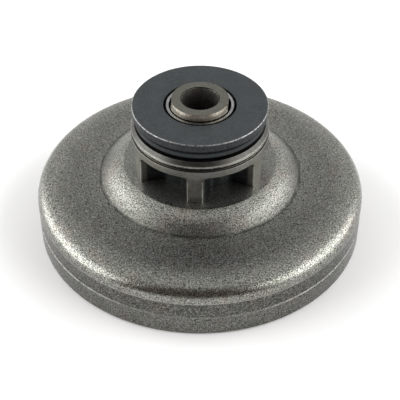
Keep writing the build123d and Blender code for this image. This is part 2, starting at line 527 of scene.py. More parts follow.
@dataclass(frozen=True)
class TumbledSteel:
    """Sparkling grain of a pressed cup that was tumbled with stones, with turned bands on its wall.

    A span that is named for a place counts in millimetres from the size that it belongs to.
    """

    crease_radius: float
    crease_height: float
    band_low: float
    band_high: float
    inner_radius: float
    seat_radius: float
    seat_height: float
    steel: Colour = (0.158, 0.158, 0.143)
    olive: Colour = (0.143, 0.147, 0.128)
    brown: Colour = (0.159, 0.149, 0.131)
    worn: Colour = (0.330, 0.330, 0.312)
    grime_and_shade: Colour = (0.022, 0.024, 0.020)
    seat: Colour = (0.245, 0.246, 0.234)
    patches: Grain = Grain(210.0, 4.0)
    olive_patches: Span = Span(0.38, 0.52)
    brown_patches: Span = Span(0.52, 0.66)
    sparkle: Grain = Grain(4300.0, 3.0)
    sparkle_contrast: Span = Span(0.32, 0.68, 0.16, 1.84)
    sparkle_relief: Relief = Relief(0.00009, 0.48)
    pits: Mottle = Mottle(Grain(900.0), Span(0.64, 0.74, 0.0, 0.22))
    specks: Mottle = Mottle(Grain(3100.0), Span(0.57, 0.65, 0.0, 0.95))
    boss_edge: Span = Span(0.0, 0.1, 1.0, 0.0)
    brow_width: float = 1.2
    brow_painted_light: float = 1.50
    foot_painted_shade: float = 0.66
    outer_web: Span = Span(-5.5, -1.0)
    outer_web_painted_light: float = 1.25
    outside: Span = Span(1.0, 1.6)
    wall_top: Span = Span(-0.2, 0.0, 1.0, 0.0)
    wall_painted_shade: float = 0.67
    band_soft: float = 0.08
    band_marks_and_shade: Mottle = Mottle(Grain(2000.0, 3.0), Span(0.30, 0.70, 0.40, 1.05))
    seat_edge: Span = Span(-0.9, 0.2, 0.85, 0.0)
    seat_top: Span = Span(-0.8, -0.4)
    seat_share: float = 0.40
    seat_rough: float = 0.10
    seat_sparkle: Span = Span(0.0, 1.0, 1.0, 0.55)
    edge_half: float = 0.09
    edge_soft: float = 0.18
    edge_wear_and_highlight: Mottle = Mottle(Grain(1100.0), Span(0.30, 0.62, 0.35, 0.80))
    crease_out: float = 0.06
    crease_half: float = 0.12
    crease_soft: float = 0.32
    crease_depth: Span = Span(-0.6, 0.0)
    crease_shade_breakup: Mottle = Mottle(Grain(260.0, 3.0), Span(0.30, 0.62, 0.30, 0.76))
    roughness: Mottle = Mottle(Grain(2800.0), Span(0.30, 0.70, 0.24, 0.37))
    dull_from: float = 2.4
    dull_foot: float = 0.16
    shoulder_gloss: Span = Span(0.3, 0.9, 0.0, -0.07)
    dents: Grain = Grain(330.0)
    dent_relief: Relief = Relief(0.00005, 0.16)
    lathe_marks: Grain = Grain(5200.0, lay=Lay.ROUND)
    lathe_relief: Relief = Relief(0.00001, 0.25)

    def material(self) -> bpy.types.Material:
        """Build the finish of the drum.

        Returns:
            The finished material.
        """
        c = Canvas("tumbled_steel")
        radius, height = c.radius(), c.height()
        # Patches, sparkling grain, pits and bright specks all over
        patches, sparkle = c.noise(self.patches), c.noise(self.sparkle)
        colour = c.mix(c.ramp(patches, self.olive_patches), self.olive, self.steel)
        colour = c.mix(c.ramp(patches, self.brown_patches), colour, self.brown)
        colour = c.dim(colour, c.ramp(sparkle, self.sparkle_contrast))
        colour = c.mix(c.mottle(self.pits), colour, self.grime_and_shade)
        colour = c.mix(c.mottle(self.specks), colour, self.worn)

        # Painted light and shade: the boss is painted lighter at its brow and darker at its foot, and the
        # web is painted lighter towards the wall
        on_boss = c.fade(radius, self.boss_edge, self.crease_radius)
        brow = self.seat_radius + self.brow_width
        boss_painted_shading = c.fade(radius, Span(brow, self.crease_radius, self.brow_painted_light, self.foot_painted_shade))
        colour = c.dim(colour, c.within(on_boss, boss_painted_shading))
        towards_wall = c.fade(radius, self.outer_web, self.inner_radius)
        colour = c.dim(colour, c.within(towards_wall, self.outer_web_painted_light))

        # Painted shade: the wall is painted darker than the web, and most of all in its turned band, whose
        # marks darken it further
        outside = c.fade(radius, self.outside, self.inner_radius)
        wall = c.times(outside, c.fade(height, self.wall_top, self.band_high))
        colour = c.dim(colour, c.within(wall, self.wall_painted_shade))
        middle = (self.band_low + self.band_high) / 2
        half = (self.band_high - self.band_low) / 2
        turned_band = c.times(outside, c.band(height, middle * MM, half * MM, self.band_soft * MM))
        colour = c.dim(colour, c.within(turned_band, c.mottle(self.band_marks_and_shade)))

        # Turned seat, worn edges of the band that also carry a painted highlight, and painted shade in the
        # crease
        seat = c.fade(radius, self.seat_edge, self.seat_radius)
        seat = c.times(seat, c.fade(height, self.seat_top, self.seat_height))
        colour = c.mix(c.times(seat, self.seat_share), colour, self.seat)
        for edge in (self.band_low, self.band_high):
            line = c.band(height, edge * MM, self.edge_half * MM, self.edge_soft * MM)
            line = c.times(c.times(outside, line), c.mottle(self.edge_wear_and_highlight))
            colour = c.mix(line, colour, self.worn)
        crease_middle = self.crease_radius + self.crease_out
        crease = c.band(radius, crease_middle * MM, self.crease_half * MM, self.crease_soft * MM)
        crease = c.times(crease, c.fade(height, self.crease_depth, self.crease_height))
        crease = c.times(crease, c.mottle(self.crease_shade_breakup))
        colour = c.mix(crease, colour, self.grime_and_shade)

        # Gloss is lower on the seat and the boss's foot and higher on the shoulder
        rough = c.plus(c.mottle(self.roughness), c.times(seat, self.seat_rough))
        dull_from = self.seat_radius + self.dull_from
        dull = c.fade(radius, Span(dull_from, self.crease_radius, 0.0, self.dull_foot))
        rough = c.plus(rough, c.times(on_boss, dull))
        gloss = c.fade(height, self.shoulder_gloss, self.band_high)
        rough = c.plus(rough, c.times(outside, gloss))
        normal = c.bump(c.noise(self.dents), self.dent_relief)
        normal = c.bump(c.noise(self.lathe_marks), self.lathe_relief, normal)
        grainy = c.times(sparkle, c.ramp(seat, self.seat_sparkle))
        normal = c.bump(grainy, self.sparkle_relief, normal)
        return c.finish(colour, rough, normal)


@dataclass(frozen=True)
class CutSteel:
    """Turned and milled sprocket steel, bright on the outside and dark with oil and painted shade between
    the teeth, with painted highlights on the bead and the tooth edges.

    A span that is named for a place counts in millimetres from the size that it belongs to.
    """

    teeth: int
    tip_radius: float
    tip_width: float
    flange_height: float
    groove_height: float
    bead_height: float
    cone_height: float
    steel: Colour = (0.205, 0.204, 0.187)
    warm: Colour = (0.188, 0.181, 0.160)
    bright: Colour = (0.560, 0.560, 0.525)
    oil: Colour = (0.030, 0.034, 0.036)
    near_black: Colour = (0.020, 0.020, 0.019)
    warm_patches: Mottle = Mottle(Grain(220.0, 3.0), Span(0.42, 0.62))
    fine: Grain = Grain(2400.0, 3.0)
    fine_contrast: Span = Span(0.30, 0.70, 0.86, 1.14)
    fine_relief: Relief = Relief(0.00002, 0.18)
    gap_depth: Span = Span(-1.7, -0.9, 1.0, 0.0)
    gap_top: Span = Span(-0.1, 0.15, 1.0, 0.0)
    gap_oil_and_shade: Mottle = Mottle(Grain(500.0, 3.0), Span(0.25, 0.50, 0.80, 1.0))
    gap_rough: float = 0.10
    bead_half: float = 0.16
    bead_soft: float = 0.18
    bead_painted_highlight: float = 0.80
    bead_gloss: float = 0.18
    groove_half: float = 0.25
    groove_soft: float = 0.20
    groove_depth: Span = Span(-0.50, -0.15, 1.0, 0.0)
    cone_painted_shade: Span = Span(-0.05, 0.30, 0.0, 0.72)
    edge_half_angle: float = 0.004
    edge_soft_angle: float = 0.006
    tip_skin: Span = Span(-0.40, -0.25)
    straight_flank: Span = Span(-1.6, -0.9, 1.0, 0.0)
    roughness: Mottle = Mottle(Grain(900.0), Span(0.30, 0.70, 0.34, 0.44))
    turning_marks: Grain = Grain(4200.0, lay=Lay.ROUND)
    turning_relief: Relief = Relief(0.000012, 0.45)

    def material(self) -> bpy.types.Material:
        """Build the finish of the sprocket.

        Returns:
            The finished material.
        """
        c = Canvas("cut_steel")
        radius, height = c.radius(), c.height()
        colour = c.mix(c.mottle(self.warm_patches), self.steel, self.warm)
        fine = c.noise(self.fine)
        colour = c.dim(colour, c.ramp(fine, self.fine_contrast))

        # Oil and painted shade between the teeth, a painted highlight on the bead, and painted shade in the
        # groove and on the cone under the washers
        in_gap = c.fade(radius, self.gap_depth, self.tip_radius)
        between = c.times(in_gap, c.fade(height, self.gap_top, self.flange_height))
        between = c.times(between, c.mottle(self.gap_oil_and_shade))
        colour = c.mix(between, colour, self.oil)
        bead_middle = (self.bead_height + self.cone_height) / 2
        bead = c.band(height, bead_middle * MM, self.bead_half * MM, self.bead_soft * MM)
        colour = c.mix(c.times(bead, self.bead_painted_highlight), colour, self.bright)
        groove_middle = (self.groove_height + self.bead_height) / 2
        groove = c.band(height, groove_middle * MM, self.groove_half * MM, self.groove_soft * MM)
        groove = c.times(groove, c.fade(radius, self.groove_depth, self.tip_radius))
        cone = c.fade(height, self.cone_painted_shade, self.cone_height)
        colour = c.mix(c.maths(Blend.MOST, groove, cone), colour, self.near_black)

        # Both long edges of each tooth are worn and carry a painted highlight, up to the rounding under the
        # flange
        half_tip = math.pi / self.teeth - self.tip_width / 2 / self.tip_radius
        edge = c.band(c.sector_angle(self.teeth), half_tip, self.edge_half_angle, self.edge_soft_angle)
        edge = c.times(edge, c.fade(radius, self.tip_skin, self.tip_radius))
        edge = c.times(edge, c.fade(height, self.straight_flank, self.flange_height))
        colour = c.mix(edge, colour, self.bright)

        rough = c.plus(c.mottle(self.roughness), c.times(between, self.gap_rough))
        rough = c.maths(Blend.SUBTRACT, rough, c.times(bead, self.bead_gloss))
        normal = c.bump(c.noise(self.turning_marks), self.turning_relief)
        normal = c.bump(fine, self.fine_relief, normal)
        return c.finish(colour, rough, normal)


@dataclass(frozen=True)
class DarkPhosphate:
    """Blue-black conversion coat of the washers, rubbed through to steel along the sharp edge, with painted
    shade at the rim's foot and over the rim of a washer that is not rubbed.

    A span that is named for a place counts in millimetres from the size that it belongs to.
    """

    name: str
    edge_radius: float
    low: float
    high: float
    rubbed: bool
    coat: Colour = (0.062, 0.071, 0.074)
    dust: Colour = (0.070, 0.079, 0.082)
    steel: Colour = (0.300, 0.305, 0.300)
    oil: Colour = (0.006, 0.007, 0.008)
    metallic: float = 0.85
    dusty: Mottle = Mottle(Grain(260.0, 4.0), Span(0.40, 0.66))
    fine: Grain = Grain(3000.0, 3.0)
    fine_contrast: Span = Span(0.30, 0.70, 0.82, 1.14)
    fine_relief: Relief = Relief(0.00003, 0.35)
    rim: Span = Span(-0.36, -0.10)
    rim_foot_painted_shade: Span = Span(0.20, 0.48, 1.0, 0.0)
    rim_tone: Mottle = Mottle(Grain(5200.0, 3.0), Span(0.34, 0.66, 0.35, 1.00))
    rim_painted_shade: float = 0.80
    rubbed_depth: float = 0.22
    edge_painted_shade_depth: float = 0.95
    full_share: float = 0.6
    rubbing: Mottle = Mottle(Grain(1900.0, 3.0), Span(0.34, 0.60, 0.15, 1.0))
    roughness: Mottle = Mottle(Grain(1200.0), Span(0.30, 0.70, 0.40, 0.58))
    turning_marks: Grain = Grain(4000.0, lay=Lay.ROUND)
    turning_relief: Relief = Relief(0.00001, 0.20)
    tear_marks: Grain = Grain(3600.0, 3.0, Lay.AXIAL)
    tear_relief: Relief = Relief(0.00006, 0.45)

    def material(self) -> bpy.types.Material:
        """Build the finish of one washer.

        Returns:
            The finished material.
        """
        c = Canvas(self.name)
        radius, height = c.radius(), c.height()
        colour = c.mix(c.mottle(self.dusty), self.coat, self.dust)
        fine = c.noise(self.fine)
        colour = c.dim(colour, c.ramp(fine, self.fine_contrast))

        # The rim is torn and has painted shade at its foot; its upper edge is bare steel if rubbed, and if
        # not, painted shade darkens the whole rim and most of all its upper edge
        rim = c.fade(radius, self.rim, self.edge_radius)
        foot_shade = c.times(rim, c.fade(height, self.rim_foot_painted_shade, self.low))
        colour = c.mix(foot_shade, colour, self.oil)
        rim_tone = c.mottle(self.rim_tone) if self.rubbed else self.rim_painted_shade
        colour = c.dim(colour, c.within(rim, rim_tone))
        depth = self.rubbed_depth if self.rubbed else self.edge_painted_shade_depth
        edge = c.times(rim, c.fade(height, Span(-depth, -depth * self.full_share), self.high))
        if self.rubbed:
            edge = c.times(edge, c.mottle(self.rubbing))
        colour = c.mix(edge, colour, self.steel if self.rubbed else self.oil)

        normal = c.bump(c.noise(self.turning_marks), self.turning_relief)
        torn = c.times(rim, c.noise(self.tear_marks))
        normal = c.bump(torn, self.tear_relief, normal)
        normal = c.bump(fine, self.fine_relief, normal)
        return c.finish(colour, c.mottle(self.roughness), normal, self.metallic)


@dataclass(frozen=True)
class GroundSteel:
    """Hardened and ground bearing steel with a fine lay."""

    name: str
    steel: Colour
    stain: Colour
    roughness: Mottle
    grinding: Grain = Grain(5200.0, lay=Lay.ROUND)
    grinding_relief: Relief = Relief(0.00001, 0.35)
    stains: Mottle = Mottle(Grain(420.0, 4.0), Span(0.40, 0.64))
    fine: Grain = Grain(3200.0)
    fine_contrast: Span = Span(0.30, 0.70, 0.84, 1.16)
    fine_relief: Relief = Relief(0.000015, 0.25)

    def material(self) -> bpy.types.Material:
        """Build the finish of a bearing piece.

        Returns:
            The finished material.
        """
        c = Canvas(self.name)
        colour = c.mix(c.mottle(self.stains), self.steel, self.stain)
        fine = c.noise(self.fine)
        colour = c.dim(colour, c.ramp(fine, self.fine_contrast))
        normal = c.bump(c.noise(self.grinding), self.grinding_relief)
        normal = c.bump(fine, self.fine_relief, normal)
        return c.finish(colour, c.mottle(self.roughness), normal)


@dataclass(frozen=True)
class SleeveSteel:
    """Hardened sleeve, brown from heat: a dull face and satin sides, with painted shade low on the side and
    deep in the bore.

    A span that is named for a place counts in millimetres from the size that it belongs to.
    """

    top: float
    bore: float
    face: Colour = (0.152, 0.149, 0.127)
    side: Colour = (0.400, 0.370, 0.315)
    stain: Colour = (0.320, 0.288, 0.238)
    inner: Colour = (0.430, 0.408, 0.370)
    bore_painted_shade: Colour = (0.260, 0.262, 0.262)
    oil: Colour = (0.020, 0.019, 0.017)
    near_black: Colour = (0.005, 0.005, 0.004)
    stains: Mottle = Mottle(Grain(420.0, 4.0), Span(0.40, 0.64))
    face_skin: Span = Span(-0.12, -0.03)
    face_rough: float = 0.12
    collar: Span = Span(-1.45, -1.35, 1.0, 0.0)
    lip: Span = Span(0.14, 0.22, 1.0, 0.0)
    bore_skin: Span = Span(0.004, 0.012, 1.0, 0.0)
    bore_depth: Span = Span(-5.0, 0.0, 1.0, 0.0)
    fine: Grain = Grain(2800.0)
    fine_contrast: Span = Span(0.30, 0.70, 0.80, 1.20)
    fine_relief: Relief = Relief(0.00002, 0.30)
    roughness: Mottle = Mottle(Grain(1600.0), Span(0.30, 0.70, 0.34, 0.44))
    grinding: Grain = Grain(5200.0, lay=Lay.ROUND)
    grinding_relief: Relief = Relief(0.00001, 0.35)

    def material(self) -> bpy.types.Material:
        """Build the finish of the sleeve.

        Returns:
            The finished material.
        """
        c = Canvas("sleeve_brown_steel")
        radius, height = c.radius(), c.height()
        colour = c.mix(c.mottle(self.stains), self.side, self.stain)
        upward = c.fade(height, self.face_skin, self.top)
        colour = c.mix(upward, colour, self.face)
        # Painted shade low on the side, where it sinks below the washers' top, and the chamfer at the bore
        # painted near black
        colour = c.mix(c.fade(height, self.collar, self.top), colour, self.oil)
        colour = c.mix(c.fade(radius, self.lip, self.bore), colour, self.near_black)
        # Painted shade inside the bore, darker with depth
        bore = c.mix(c.fade(height, self.bore_depth, self.top), self.inner, self.bore_painted_shade)
        colour = c.mix(c.fade(radius, self.bore_skin, self.bore), colour, bore)
        fine = c.noise(self.fine)
        colour = c.dim(colour, c.ramp(fine, self.fine_contrast))
        rough = c.plus(c.mottle(self.roughness), c.times(upward, self.face_rough))
        normal = c.bump(c.noise(self.grinding), self.grinding_relief)
        normal = c.bump(fine, self.fine_relief, normal)
        return c.finish(colour, rough, normal)


@dataclass(frozen=True)
class PaleTop:
    """Plain pale table top, a little uneven."""

    pale: Colour = (0.91, 0.91, 0.91)
    paler: Colour = (0.93, 0.93, 0.93)
    clouds: Grain = Grain(8.0)
    roughness: float = 0.7
    tooth: Grain = Grain(900.0)
    tooth_relief: Relief = Relief(0.00001, 0.05)

    def material(self) -> bpy.types.Material:
        """Build the finish of the table.

        Returns:
            The finished material.
        """
        c = Canvas("pale_table")
        colour = c.mix(c.noise(self.clouds), self.pale, self.paler)
        normal = c.bump(c.noise(self.tooth), self.tooth_relief)
        return c.finish(colour, self.roughness, normal, metallic=0.0)


@dataclass
class DrumCup:
    """Pressed cup: wall with a turned band, rounded shoulder, coned web and domed boss.

    Lengths are in millimetres and angles in degrees.
    """

    web_slope: float = 9.3
    web_thickness: float = 2.2
    crease_radius: float = 23.7
    crease_height: float = 14.6
    seat_radius: float = 18.1
    brow_angle: float = 20.0
    boss_flank: float = 52.0
    shoulder_round: float = 3.1
    boss_round: float = 8.9
    seat_round: float = 1.2
    crease_round: float = 0.5
    inner_shoulder_round: float = 1.2
    hole_radius: float = 10.43
    rim_chamfer: float = 0.35
    band_width: float = 4.1
    band_depth: float = 0.12
    band_margin: float = 0.15
    edge_round: float = 0.06
    web_crown: float = 0.60
    web_steps: int = 10
    web_ends: int = 2
    segments: int = 300

    def __post_init__(self) -> None:
        """Read the outer size of the cup from its solid."""
        self.rim_radius, _, self.boss_height = reach("clutch_drum")
        self.inner_radius = bore_radius("shoe_face")
        slope = math.radians(self.web_slope)
        self.shoulder_height = self.crease_height - (self.rim_radius - self.crease_radius) * math.tan(slope)
        run = self.shoulder_round * math.tan((math.pi / 2 - slope) / 2)
        self.band_high = self.shoulder_height - run - self.band_margin
        self.band_low = self.band_high - self.band_width

    def inset(self, before: Point, corner: Point, after: Point, first: float, second: float) -> Point:
        """Corner of the inside that lies one wall behind each of two outside lines.

        Args:
            before: start of the first line.
            corner: corner where the two lines meet.
            after: end of the second line.
            first: thickness of the wall behind the first line.
            second: thickness of the wall behind the second line.

        Returns:
            Radius and height of the inside corner.
        """
        ahead = (Vector(corner) - Vector(before)).normalized()
        beyond = (Vector(after) - Vector(corner)).normalized()
        spread = ahead.x * beyond.y - ahead.y * beyond.x
        shift_x = (first * beyond.x - second * ahead.x) / spread
        shift_y = (first * beyond.y - second * ahead.y) / spread
        return corner[0] + shift_x, corner[1] + shift_y

    def crowned(self, shoulder: Point, crease: Point) -> list[Corner]:
        """Corners of the web from shoulder to crease, raised a little as pressing leaves it.

        Args:
            shoulder: outer end of the web.
            crease: inner end of the web.

        Returns:
            Plain corners, raised most at a third of the way in.
        """
        corners: list[Corner] = []
        for step in range(self.web_ends, self.web_steps - self.web_ends + 1):
            share = step / self.web_steps
            x = shoulder[0] + (crease[0] - shoulder[0]) * share
            y = shoulder[1] + (crease[1] - shoulder[1]) * share
            rise = CROWN_SCALE * self.web_crown * share * (1 - share) ** 2
            corners.append((x, y + rise, 0.0))
        return corners

    def outline(self) -> list[Point]:
        """Outline of the sheet, outside first and then back along the inside.

        Returns:
            Radius and height of each point.
        """
        rim = (self.rim_radius, 0.0)
        shoulder = (self.rim_radius, self.shoulder_height)
        crease = (self.crease_radius, self.crease_height)
        steep, gentle = math.tan(math.radians(self.boss_flank)), math.tan(math.radians(self.brow_angle))
        drop = self.boss_height - self.crease_height
        out = ((self.crease_radius - self.seat_radius) * steep - drop) / (steep - gentle)
        boss = (self.seat_radius + out, self.boss_height - out * gentle)
        seat = (self.seat_radius, self.boss_height)
        mouth = (self.hole_radius, self.boss_height)
        wall = self.rim_radius - self.inner_radius
        sheet = self.web_thickness
        in_shoulder = self.inset(rim, shoulder, crease, wall, sheet)
        in_crease = self.inset(shoulder, crease, boss, sheet, sheet)
        in_boss = self.inset(crease, boss, seat, sheet, sheet)
        in_seat = self.inset(boss, seat, mouth, sheet, sheet)
        cut = self.rim_chamfer
        groove = self.rim_radius - self.band_depth
        soft = self.edge_round
        corners: list[Corner] = [
            (self.rim_radius - cut, 0.0, soft),
            (self.rim_radius, cut, soft),
            (self.rim_radius, self.band_low, soft),
            (groove, self.band_low, soft),
            (groove, self.band_high, soft),
            (self.rim_radius, self.band_high, soft),
            (*shoulder, self.shoulder_round),
            *self.crowned(shoulder, crease),
            (*crease, self.crease_round),
            (*boss, self.boss_round),
            (*seat, self.seat_round),
            (*mouth, soft),
            (self.hole_radius, self.boss_height - sheet, soft),
            (*in_seat, self.seat_round),
            (*in_boss, self.boss_round - sheet),
            (*in_crease, self.crease_round + sheet),
            *reversed(self.crowned(in_shoulder, in_crease)),
            (*in_shoulder, self.inner_shoulder_round),
            (self.inner_radius, cut, soft),
            (self.inner_radius + cut, 0.0, soft),
        ]
        return rounded(corners)

    def build(self) -> None:
        """Make the cup and dress it."""
        finish = TumbledSteel(
            self.crease_radius, self.crease_height, self.band_low, self.band_high, self.inner_radius,
            self.seat_radius, self.boss_height,
        )
        cup = turned("drum_cup", self.outline(), self.segments)
        dress(cup, "clutch_drum", "drum", finish.material())


@dataclass
class SpurSprocket:
    """Spur sprocket: toothed length under a grooved flange, with the spigot below it, in millimetres."""

    teeth: int = 6
    tip_width: float = 3.4
    root_radius: float = 10.8
    root_width: float = 6.0
    root_round: float = 1.8
    tooth_height: float = 7.2
    flange_round: float = 1.5
    flange_band: float = 1.6
    groove_width: float = 0.8
    groove_depth: float = 0.55
    bead_width: float = 0.6
    bead_drop: float = 0.1
    bead_round: float = 0.2
    cone_height: float = 1.0
    cone_inset: float = 0.75
    land_radius: float = 13.6
    land_height: float = 0.6
    spigot_radius: float = 10.4
    spigot_chamfer: float = 0.3
    bore: float = 8.65
    tip_wear: float = 0.16
    edge_round: float = 0.08
    tip_steps: int = 3
    flank_steps: int = 3
    gap_steps: int = 4
    round_steps: int = 8

    def __post_init__(self) -> None:
        """Read the outer size of the sprocket and its seat from the solids, and stack up the flange."""
        self.tip_radius, self.low, _ = reach("spur_sprocket")
        self.seat = reach("clutch_drum")[2]
        self.underside = self.seat + self.tooth_height
        self.groove_low = self.underside + self.flange_band
        self.bead_low = self.groove_low + self.groove_width
        self.bead_high = self.bead_low + self.bead_width

    def half_tooth(self, swell: float) -> list[Point]:
        """Outline from the middle of a tooth to the middle of the gap beside it.

        Args:
            swell: how far the flank and the root have grown into the gap, in millimetres.

        Returns:
            Points in the frame of the tooth, whose middle lies along x.
        """
        half_root, half_tip = self.root_width / 2, self.tip_width / 2
        root = Vector((math.sqrt(self.root_radius**2 - half_root**2), half_root))
        tip = Vector((math.sqrt(self.tip_radius**2 - half_tip**2), half_tip))
        along = (tip - root).normalized()
        across = Vector((-along.y, along.x))

        def meet(start: Vector, radius: float) -> Vector:
            """Point where a line along the flank reaches a circle about the axis."""
            lean = start.dot(along)
            return start + along * (math.sqrt(lean**2 - start.length_squared + radius**2) - lean)

        corner = meet(root + across * swell, self.tip_radius)
        centre = meet(root + across * self.root_round, self.root_radius + self.root_round)
        size = self.root_round - swell
        flank_end = centre - across * size
        wear = self.tip_wear
        corner_angle = math.atan2(corner.y, corner.x)
        worn_angle = corner_angle - wear / self.tip_radius
        points: list[Point] = []
        for step in range(self.tip_steps + 1):
            points.append(turn_point((self.tip_radius, 0.0), worn_angle * step / self.tip_steps))
        before, after = Vector(points[-1]), corner - along * wear
        points.append(tuple(before.lerp(after, 0.5).lerp(corner, 0.5)))
        for step in range(self.flank_steps + 1):
            points.append(tuple(after.lerp(flank_end, step / self.flank_steps)))
        first = math.atan2(-across.y, -across.x)
        last = math.atan2(-centre.y, -centre.x)
        for step in range(1, self.round_steps + 1):
            angle = first + (last - first) * step / self.round_steps
            points.append(turn_point((size, 0.0), angle, centre.to_tuple()))
        start, end = math.atan2(centre.y, centre.x), math.pi / self.teeth
        floor = self.root_radius + swell
        for step in range(1, self.gap_steps + 1):
            points.append(turn_point((floor, 0.0), start + (end - start) * step / self.gap_steps))
        return points

    def toothed_ring(self, height: float, swell: float) -> list[Vector]:
        """All teeth at one height.

        Args:
            height: height above the rim, in millimetres.
            swell: how far the flanks and the roots have grown into the gaps, in millimetres.

        Returns:
            Points in metres, in order round the axis.
        """
        half = self.half_tooth(swell)
        mirrored = [(x, -y) for x, y in reversed(half[1:-1])]
        whole = half + [turn_point(p, 2 * math.pi / self.teeth) for p in mirrored]
        points: list[Vector] = []
        for tooth in range(self.teeth):
            angle = math.pi / self.teeth + tooth * 2 * math.pi / self.teeth
            for x, y in (turn_point(p, angle) for p in whole):
                points.append(Vector((x, y, height)) * MM)
        return points

    def flange_outline(self) -> list[Point]:
        """Round part of the outline, from the flange's underside over the top to the spigot's seat.

        Returns:
            Radius and height of each point.
        """
        flange_top = self.bead_high + self.cone_height
        groove = self.tip_radius - self.groove_depth
        bead = self.tip_radius - self.bead_drop
        soft, cut = self.edge_round, self.spigot_chamfer
        corners: list[Corner] = [
            (self.tip_radius, self.underside, 0.0),
            (self.tip_radius, self.groove_low, soft),
            (groove, self.groove_low, soft),
            (groove, self.bead_low, soft),
            (bead, self.bead_low, self.bead_round),
            (bead, self.bead_high, self.bead_round),
            (bead - self.cone_inset, flange_top, soft),
            (self.land_radius, flange_top, soft),
            (self.land_radius, flange_top + self.land_height, soft),
            (self.bore, flange_top + self.land_height, soft),
            (self.bore, self.low, soft),
            (self.spigot_radius - cut, self.low, soft),
            (self.spigot_radius, self.low + cut, soft),
            (self.spigot_radius, self.seat, 0.0),
        ]
        return rounded(corners, closed=False)

    def build(self) -> None:
        """Make the sprocket and dress it."""
        rings = [self.toothed_ring(self.seat, 0.0)]
        for step in range(self.round_steps + 1):
            angle = math.pi / 2 * step / self.round_steps
            height = self.underside - self.flange_round * (1 - math.sin(angle))
            rings.append(self.toothed_ring(height, self.flange_round * (1 - math.cos(angle))))
        angles = [math.atan2(point.y, point.x) for point in rings[-1]]
        rings += [ring(radius, height, angles) for radius, height in self.flange_outline()]
        sprocket = skin("sprocket_wheel", rings)
        finish = CutSteel(
            self.teeth, self.tip_radius, self.tip_width, self.underside,
            self.groove_low, self.bead_low, self.bead_high,
        )
        dress(sprocket, "spur_sprocket", "drum", finish.material())


@dataclass
class Washer:
    """Blanked flat washer, in millimetres: clean bore, broken edges and a rim torn by the punch."""

    node: str
    rubbed: bool
    bore: float = 8.35
    edge: float = 0.15
    bore_round: float = 0.12
    tear_depth: float = 0.05
    tear_pitch: float = 1.6
    tear_lean: float = 3.0
    tear_least: float = 0.35
    rows: int = 7
    segments: int = 720

    def __post_init__(self) -> None:
        """Read the size of the washer from its solid."""
        self.radius, self.low, self.high = reach(self.node)

    def tear(self, angle: float, height: float) -> float:
        """How far the sheared rim lies inside the clean radius at one place.

        Args:
            angle: where on the rim, in radians.
            height: height above the drum's rim, in millimetres.

        Returns:
            Depth of the tear, in millimetres.
        """
        share = (self.high - height) / (self.high - self.low)
        place = Vector((math.cos(angle), math.sin(angle), 0.0)) * self.radius * self.tear_pitch
        grain = noise.noise(place + Vector((0.0, 0.0, height * self.tear_lean)))
        return self.tear_depth * (1.0 + grain) / 2 * min(1.0, self.tear_least + share)

    def build(self) -> None:
        """Make the washer and dress it."""
        angles = even_angles(self.segments)
        soft = self.bore_round
        inner = rounded([
            (self.radius, self.high, 0.0), (self.bore, self.high, soft),
            (self.bore, self.low, soft), (self.radius, self.low, 0.0),
        ], closed=False)[1:-1]
        rings = [ring(radius, height, angles) for radius, height in inner]
        rim = [(self.radius - self.edge, self.low)]
        straight = self.high - self.low - 2 * self.edge
        for row in range(self.rows):
            share = row / (self.rows - 1)
            rim.append((self.radius, self.low + self.edge + straight * share))
        rim.append((self.radius - self.edge, self.high))
        for radius, height in rim:
            rings.append([
                ring(radius - self.tear(angle, height), height, [angle])[0] for angle in angles
            ])
        washer = skin(f"{self.node}_plate", rings)
        finish = DarkPhosphate(f"{self.node}_phosphate", self.radius, self.low, self.high, self.rubbed)
        dress(washer, self.node, "drum", finish.material())


